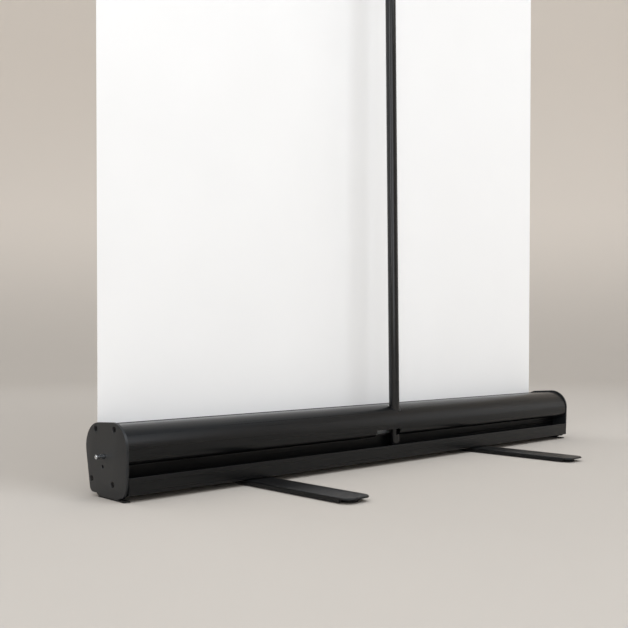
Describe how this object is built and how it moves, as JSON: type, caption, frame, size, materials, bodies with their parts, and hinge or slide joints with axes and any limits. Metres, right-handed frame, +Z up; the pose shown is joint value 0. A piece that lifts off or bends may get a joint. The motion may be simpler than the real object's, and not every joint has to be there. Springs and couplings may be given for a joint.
{
  "type": "roll-up banner stand",
  "caption": "Free-standing roll-up banner stand: spring cassette with a white film banner drawn up a telescopic pole to a clamp rail, on swivel feet.",
  "frame": {"origin": "bottom centre of the object's box, on the floor: under the middle of the cassette's length, halfway between the tips of its feet", "axes": "+Z up, +X along the cassette towards the spring shaft's end, -Y to the printed side, +Y to the pole side"},
  "size_m": [0.89, 0.336, 2.081],
  "materials": {
    "cassette_shell": "satin black anodised extrusion",
    "end_plate": "moulded, satin",
    "black_plastic": "moulded, matt",
    "screw": "black oxide",
    "rubber_pad": "matt",
    "plated_steel": "zinc plated",
    "spring_steel": "oiled spring wire",
    "nylon": "natural nylon",
    "mill_aluminium": "mill finish",
    "banner_film": "satin printed film, plain white",
    "pole_tube": "gloss black anodised tube",
    "foot_steel": "black powder coat"
  },
  "bodies": {
    "root": {"cassette_housing": "cassette_shell", "slot_guide": "black_plastic", "end_plate_near": "end_plate", "end_plate_far": "end_plate", "end_plate_screws_near": "screw", "end_plate_screws_far": "screw", "end_pad_near": "rubber_pad", "end_pad_far": "rubber_pad", "spring_shaft": "plated_steel", "idler_shaft": "plated_steel", "thrust_washer_near": "nylon", "thrust_washer_far": "nylon", "torsion_spring": "spring_steel", "banner_lead": "banner_film", "banner_sheet": "banner_film", "pole_socket": "black_plastic", "pole_guide_sleeve": "black_plastic", "pole_foot_plug": "black_plastic", "pole_lower_tube": "pole_tube", "pole_lower_collar": "black_plastic", "foot_washer_near": "plated_steel", "foot_washer_far": "plated_steel", "foot_rivet_near": "plated_steel", "foot_rivet_far": "plated_steel"},
    "roller": {"roller_tube": "mill_aluminium", "roller_plug_near": "black_plastic", "roller_plug_far": "black_plastic", "spring_anchor": "black_plastic", "banner_roll": "banner_film"},
    "pole_middle": {"pole_middle_tube": "pole_tube", "pole_middle_bush": "black_plastic", "pole_middle_collar": "black_plastic"},
    "top_rail": {"pole_top_tube": "pole_tube", "pole_top_bush": "black_plastic", "pole_tip_hook": "black_plastic", "rail_back": "cassette_shell", "rail_front": "cassette_shell", "rail_cap_near": "black_plastic", "rail_cap_far": "black_plastic", "banner_top_edge": "banner_film"},
    "foot_near": {"foot_bar_near": "foot_steel", "foot_pads_near": "rubber_pad"},
    "foot_far": {"foot_bar_far": "foot_steel", "foot_pads_far": "rubber_pad"}
  },
  "joints": [
    {"name": "rail_height", "type": "slide", "parent": "root", "child": "top_rail", "axis": [0, -0.014, 0.9999], "range_m": [-1.188, 0], "deforming": ["banner_sheet"]},
    {"name": "pole_middle_slide", "type": "slide", "parent": "root", "child": "pole_middle", "axis": [0, -0.014, 0.9999], "range_m": [-0.594, 0]},
    {"name": "roller_spin", "type": "hinge", "parent": "root", "child": "roller", "pos_m": [0, -0.04, 0.045], "axis": [1, 0, 0], "range_deg": [0, 5090]},
    {"name": "foot_near_swivel", "type": "hinge", "parent": "root", "child": "foot_near", "pos_m": [0.257, -0.038, 0], "axis": [0, 0, 1], "range_deg": [0, 90]},
    {"name": "foot_far_swivel", "type": "hinge", "parent": "root", "child": "foot_far", "pos_m": [-0.181, -0.038, 0], "axis": [0, 0, 1], "range_deg": [0, 90]}
  ],
  "couplings": [
    {"joint": "pole_middle_slide", "follows": "rail_height", "ratio": 0.5},
    {"joint": "roller_spin", "follows": "rail_height", "rad_per_m": -74.627}
  ]
}
